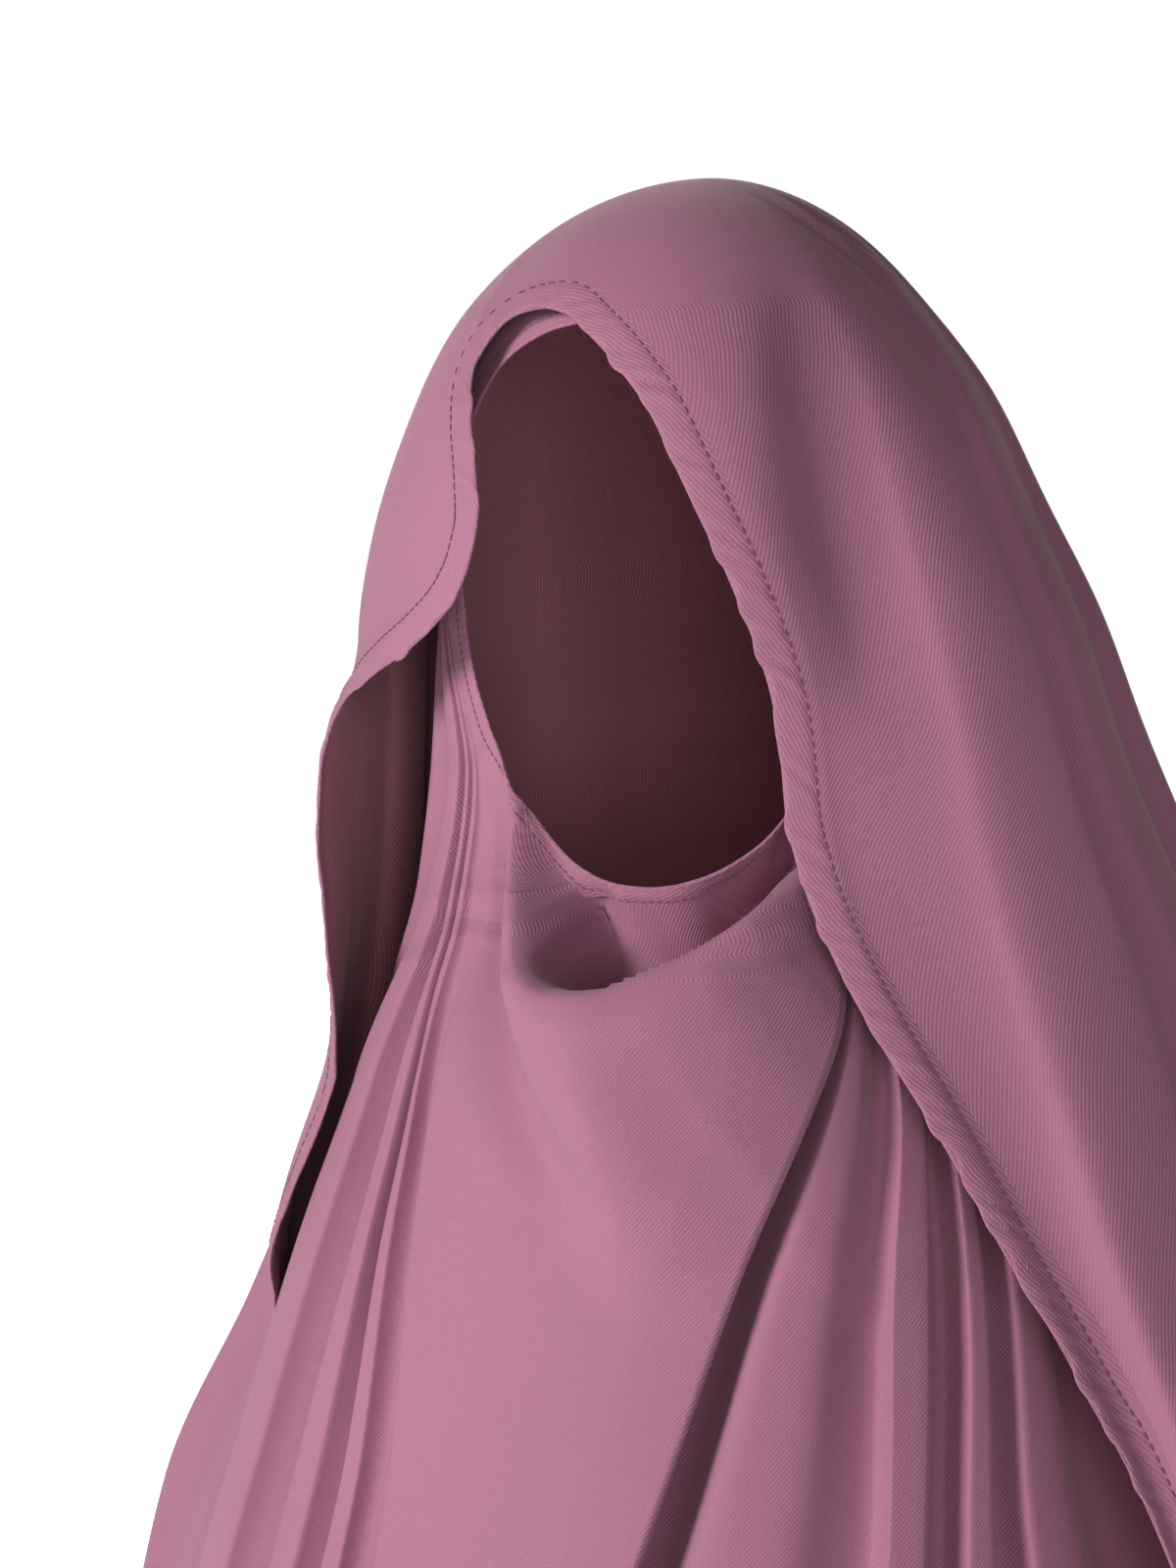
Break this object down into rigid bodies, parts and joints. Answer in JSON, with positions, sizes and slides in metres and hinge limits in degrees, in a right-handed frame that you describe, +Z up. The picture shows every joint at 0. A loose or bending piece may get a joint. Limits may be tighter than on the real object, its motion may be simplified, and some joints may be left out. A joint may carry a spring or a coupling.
{
  "type": "khimar veil",
  "caption": "Two-layer khimar veil held as worn: a closed inner layer with a face opening and cowl, under a draped open-front hooded outer veil with a turned hem.",
  "frame": {"origin": "the crown, where the veil sits on top of the head", "axes": "+Z up, the face opening looks towards -Y, +X is the wearer's left"},
  "size_m": [0.593, 0.5144, 0.7206],
  "materials": {
    "outer_cloth": "matt crepe twill, dusty mauve, with a soft sheen",
    "hem_cloth": "the same twill turned under and stitched tone on tone",
    "inner_cloth": "matt crepe twill, dusty mauve",
    "binding_cloth": "narrow bias binding of the same twill"
  },
  "bodies": {
    "root": {"outer_veil": "outer_cloth", "front_hem": "hem_cloth", "inner_khimar": "inner_cloth", "face_binding": "binding_cloth"}
  },
  "joints": []
}
